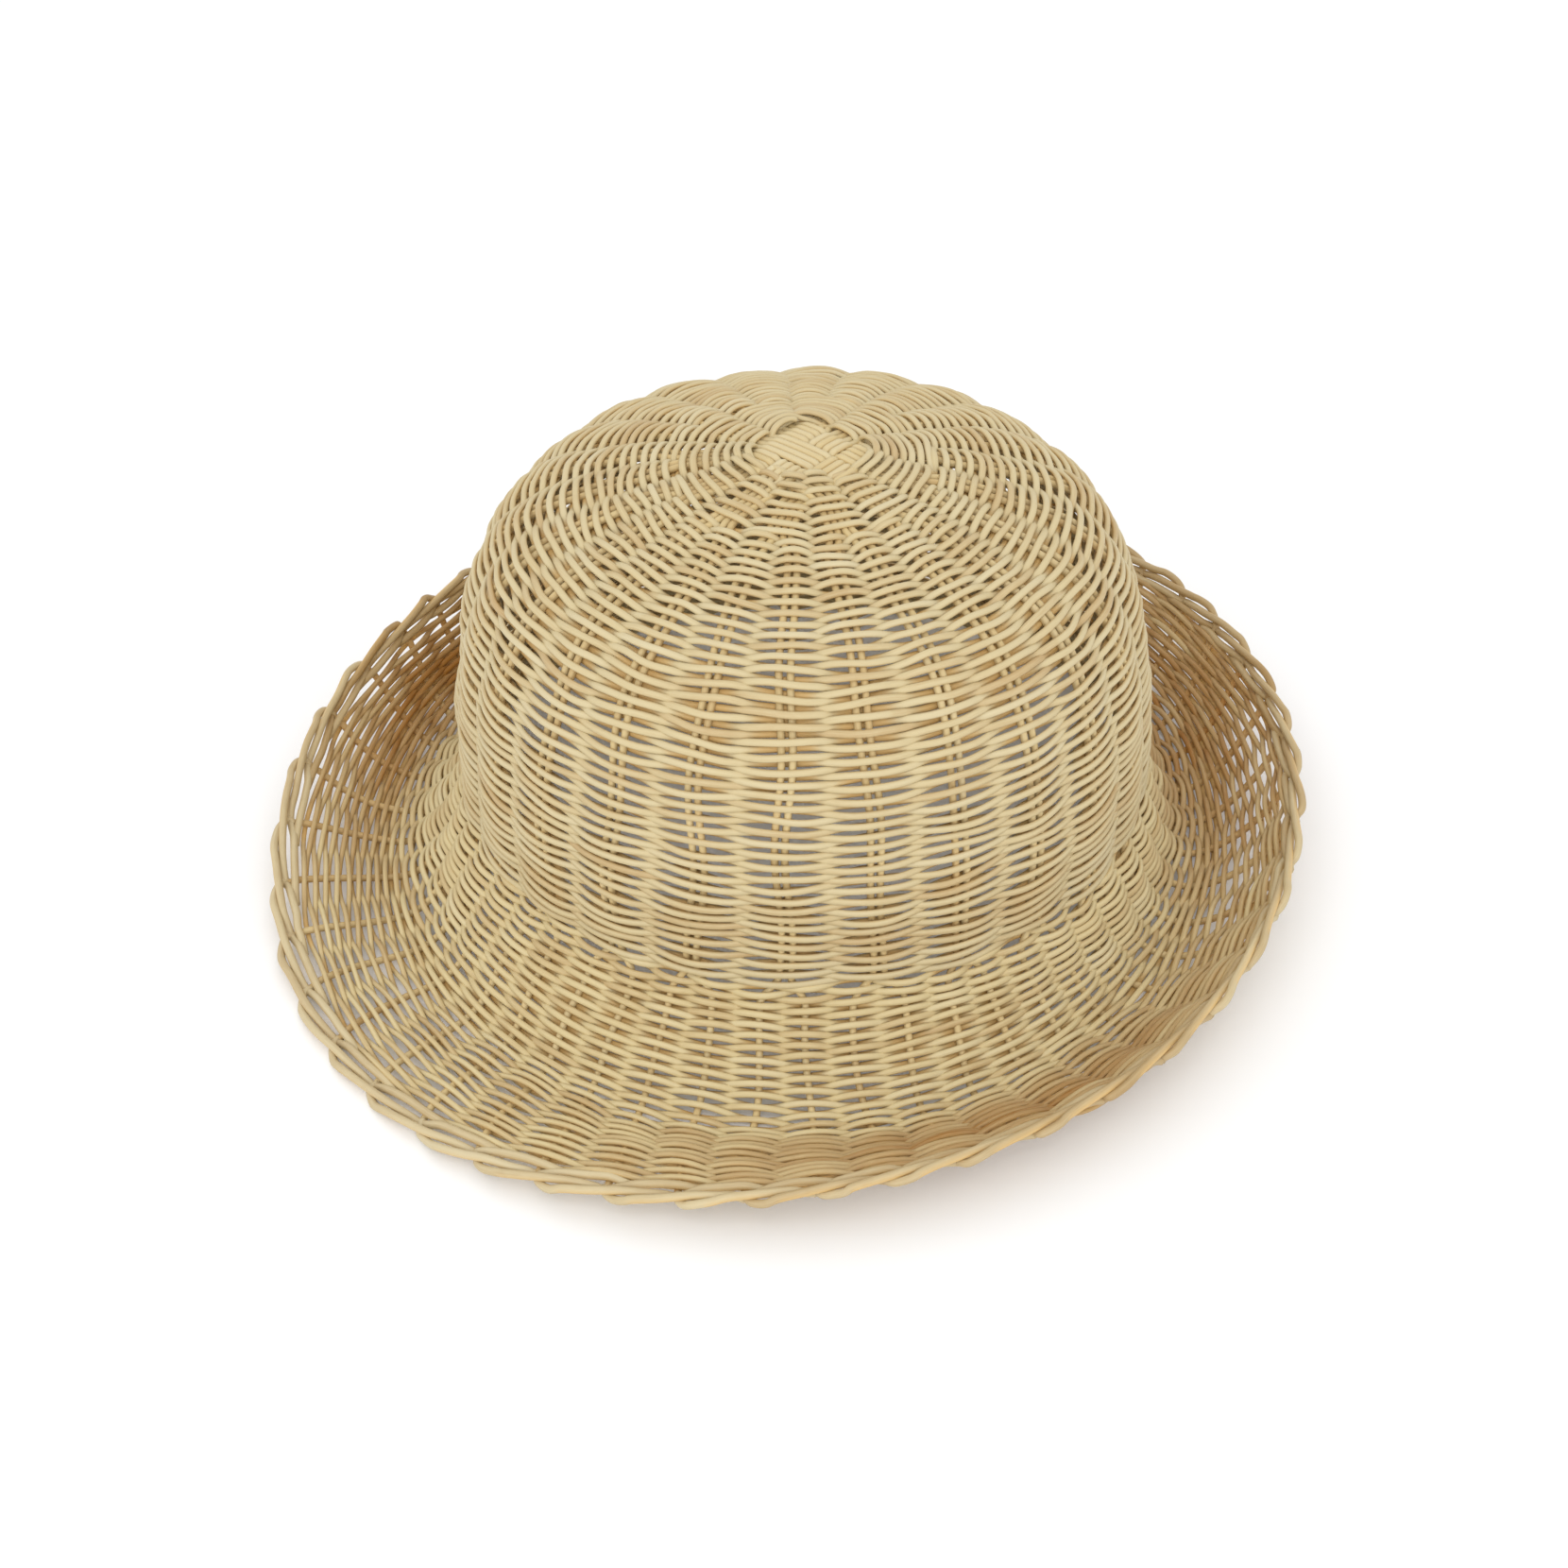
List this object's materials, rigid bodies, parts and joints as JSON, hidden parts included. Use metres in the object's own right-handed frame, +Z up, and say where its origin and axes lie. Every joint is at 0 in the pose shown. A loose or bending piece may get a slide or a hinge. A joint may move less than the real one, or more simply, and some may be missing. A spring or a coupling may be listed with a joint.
{
  "type": "woven cane hat",
  "caption": "Woven cane sun hat with a round domed crown, a flared brim that dips and curls up again, and a rolled border; worn on the head.",
  "frame": {"origin": "middle of the head opening, at the foot of the crown's straight wall", "axes": "+Z up the crown, -Y towards the front of the hat, +X to the wearer's left as seen from the front right"},
  "size_m": [0.2858, 0.2981, 0.1266],
  "materials": {
    "stake_cane": "satin",
    "crown_cane": "satin",
    "brim_cane": "satin",
    "border_cane": "satin"
  },
  "bodies": {
    "root": {"stake_01": "stake_cane", "stake_02": "stake_cane", "stake_03": "stake_cane", "stake_04": "stake_cane", "stake_05": "stake_cane", "stake_06": "stake_cane", "stake_07": "stake_cane", "stake_08": "stake_cane", "stake_09": "stake_cane", "stake_10": "stake_cane", "stake_11": "stake_cane", "stake_12": "stake_cane", "stake_13": "stake_cane", "stake_14": "stake_cane", "stake_15": "stake_cane", "stake_16": "stake_cane", "stake_17": "stake_cane", "stake_18": "stake_cane", "stake_19": "stake_cane", "stake_20": "stake_cane", "stake_21": "stake_cane", "stake_22": "stake_cane", "stake_23": "stake_cane", "stake_24": "stake_cane", "cap_weave": "crown_cane", "upper_weave": "crown_cane", "lower_weave": "crown_cane", "crease_wale": "stake_cane", "inner_brim_weave": "crown_cane", "outer_brim_weave": "brim_cane", "rim_wale": "border_cane", "rim_border": "border_cane"}
  },
  "joints": []
}
